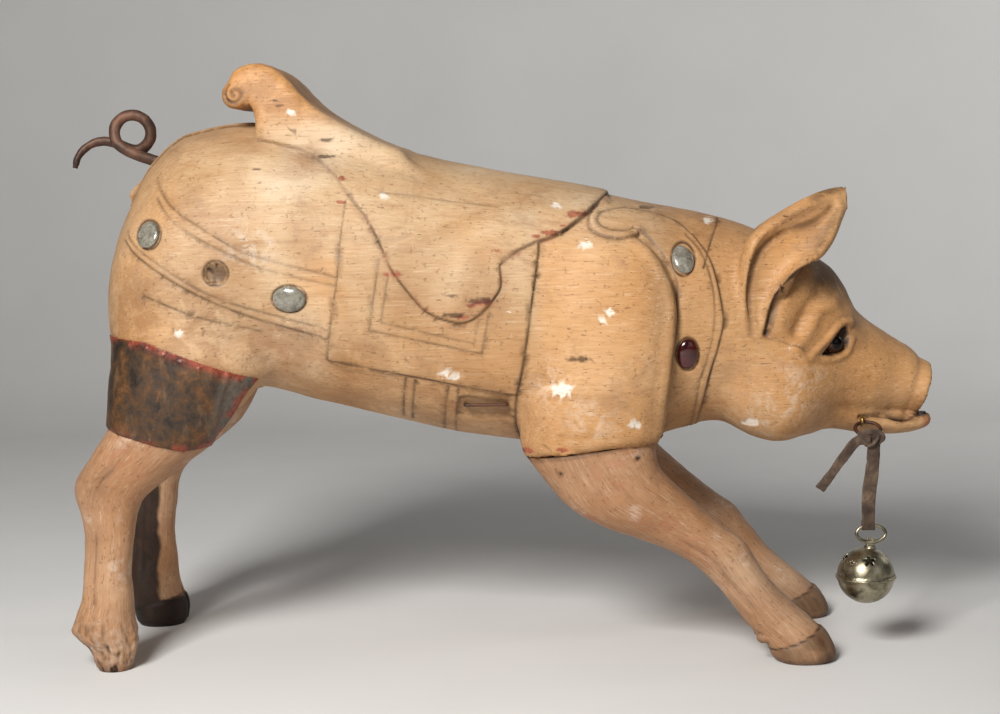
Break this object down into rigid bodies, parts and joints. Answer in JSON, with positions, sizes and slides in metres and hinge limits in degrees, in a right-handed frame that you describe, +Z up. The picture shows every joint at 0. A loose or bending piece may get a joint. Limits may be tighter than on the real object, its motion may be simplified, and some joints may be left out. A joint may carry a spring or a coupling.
{
  "type": "carousel pig",
  "caption": "Carved wooden carousel pig in full gallop, stripped of paint, with carved saddle and trappings, glass jewels, a curled iron tail and a bell on a leather thong.",
  "frame": {"origin": "centre of the box round the pig, at the level of its soles, without the thong and bell", "axes": "+X towards the snout, +Y towards the pig's left side, +Z up"},
  "size_m": [0.9811, 0.3152, 0.672],
  "materials": {
    "bare_wood": "stripped honey-coloured wood, worn, waxed, with specks of old paint",
    "leg_wood": "redder, rougher stripped wood with dark worn hoofs",
    "sheet_iron": "old brown sheet iron with rust and red paint along the nailed edges",
    "rusty_iron": "brown rusted iron",
    "clear_glass": "cloudy clear glass over a dark dirty backing",
    "red_glass": "dark red glass",
    "eye_glass": "black glass",
    "brass": "dull brass",
    "leather": "dry brown leather",
    "nickel": "tarnished nickel-plated brass"
  },
  "bodies": {
    "root": {"pig_body": "bare_wood", "right_fore_leg": "leg_wood", "left_fore_leg": "leg_wood", "right_hind_leg": "leg_wood", "left_hind_leg": "leg_wood", "thigh_sleeve": "sheet_iron", "iron_tail": "rusty_iron", "girth_staple": "rusty_iron", "mouth_ring": "rusty_iron", "bell_loop": "rusty_iron", "mouth_screw_eye": "brass", "leather_thong": "leather", "bell": "nickel", "right_eye": "eye_glass", "left_eye": "eye_glass", "right_collar_upper_jewel": "clear_glass", "right_collar_lower_jewel": "red_glass", "right_crupper_front_jewel": "clear_glass", "right_crupper_rear_jewel": "clear_glass", "left_collar_upper_jewel": "clear_glass", "left_collar_lower_jewel": "red_glass", "left_crupper_front_jewel": "clear_glass", "left_crupper_rear_jewel": "clear_glass", "left_crupper_middle_jewel": "clear_glass"}
  },
  "joints": []
}
